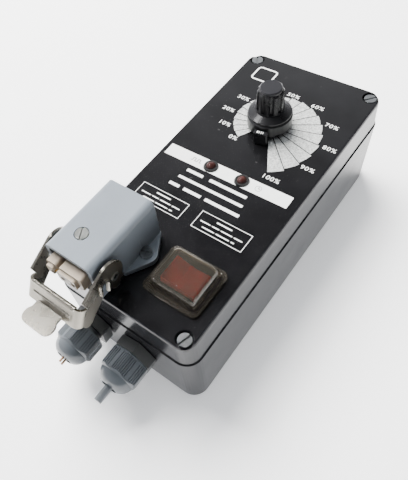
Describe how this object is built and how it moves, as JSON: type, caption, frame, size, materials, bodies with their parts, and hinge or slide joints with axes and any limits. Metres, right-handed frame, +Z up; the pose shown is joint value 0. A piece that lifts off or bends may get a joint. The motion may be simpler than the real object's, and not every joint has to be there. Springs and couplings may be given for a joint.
{
  "type": "feeder controller",
  "caption": "Dark cast case with a fluted dial knob and collar, lamps, a rocker switch under a clear boot, an angled power socket with locking lever, and cable glands.",
  "frame": {"origin": "centre of the case's flat underside", "axes": "+X to the right of the panel as it is read, +Y towards the dial end and away from the cable glands, +Z up out of the panel"},
  "size_m": [0.08, 0.205, 0.0827],
  "materials": {
    "case_paint": "satin dark grey enamel on cast aluminium",
    "lid_paint": "satin dark grey enamel on cast aluminium",
    "plate_print": "near-black printed foil, glossy, with white markings",
    "gasket_rubber": "matt black",
    "zinc_screw": "zinc plated, slotted",
    "hood_grey": "grey-blue powder coat on die-cast metal",
    "insert_tan": "light tan moulding",
    "brass_contact": "plain",
    "core_insulation": "PVC insulated wire",
    "stud_steel": "turned",
    "lever_steel": "pressed sheet steel, slightly yellow passivation",
    "gland_grey": "grey nylon",
    "cable_grey": "grey PVC sheath",
    "black_plastic": "matt black moulding",
    "rocker_red": "red moulding",
    "boot_clear": "clear silicone, yellowed",
    "tin_plate": "tin plated",
    "pot_steel": "pressed steel can",
    "dial_black": "glossy black moulding",
    "cap_black": "matt black moulding",
    "lamp_red": "unlit reddish-brown diffused lens",
    "board_green": "solder mask",
    "block_green": "screw terminal moulding",
    "sink_aluminium": "extruded",
    "copper_wire": "enamelled copper winding",
    "capacitor_yellow": "cast resin case",
    "fuse_glass": "glass tube with plated ends",
    "core_steel": "laminated core and winding"
  },
  "bodies": {
    "case": {"base_shell": "case_paint", "lid": "lid_paint", "lid_gasket": "gasket_rubber", "front_plate": "plate_print", "lid_screws": "zinc_screw", "connector_housing": "hood_grey", "connector_seal": "gasket_rubber", "connector_screws": "zinc_screw", "connector_insert": "insert_tan", "insert_screw": "zinc_screw", "connector_contacts": "brass_contact", "connector_leads": "core_insulation", "lever_studs": "stud_steel", "supply_gland_body": "gland_grey", "supply_gland_cap": "gland_grey", "supply_gland_seal": "gasket_rubber", "supply_gland_nut": "gland_grey", "supply_cable": "cable_grey", "supply_cores": "core_insulation", "load_gland_body": "gland_grey", "load_gland_cap": "gland_grey", "load_gland_seal": "gasket_rubber", "load_gland_nut": "gland_grey", "load_cable": "cable_grey", "load_cores": "core_insulation", "switch_housing": "black_plastic", "switch_boot": "boot_clear", "switch_terminals": "tin_plate", "potentiometer_body": "pot_steel", "potentiometer_nut": "zinc_screw", "dial_collar": "dial_black", "led_holders": "black_plastic", "led_lenses": "lamp_red", "circuit_board": "board_green", "board_pillars": "brass_contact", "board_screws": "zinc_screw", "terminal_block": "block_green", "triac": "black_plastic", "heat_sink": "sink_aluminium", "suppression_choke": "copper_wire", "suppression_capacitor": "capacitor_yellow", "fuse_clips": "tin_plate", "fuse": "fuse_glass", "transformer": "core_steel"},
    "dial": {"potentiometer_shaft": "stud_steel", "dial_knob": "dial_black", "knob_cap": "cap_black", "knob_collet": "brass_contact"},
    "brake": {"dial_brake": "dial_black"},
    "rocker": {"switch_rocker": "rocker_red"},
    "lever": {"locking_lever": "lever_steel"}
  },
  "joints": [
    {"name": "dial_turn", "type": "hinge", "parent": "case", "child": "dial", "pos_m": [0, 0.0384, 0.066], "axis": [0, 0, 1], "range_deg": [-300, 0]},
    {"name": "brake_turn", "type": "hinge", "parent": "case", "child": "brake", "pos_m": [0, 0.0384, 0.0592], "axis": [0, 0, 1], "range_deg": [0, 30]},
    {"name": "rocker_tip", "type": "hinge", "parent": "case", "child": "rocker", "pos_m": [0.0184, -0.06, 0.0564], "axis": [0, 1, 0], "range_deg": [-16, 0]},
    {"name": "lever_swing", "type": "hinge", "parent": "case", "child": "lever", "pos_m": [-0.0177, -0.0792, 0.0695], "axis": [1, 0, 0], "range_deg": [-125, 15]}
  ]
}
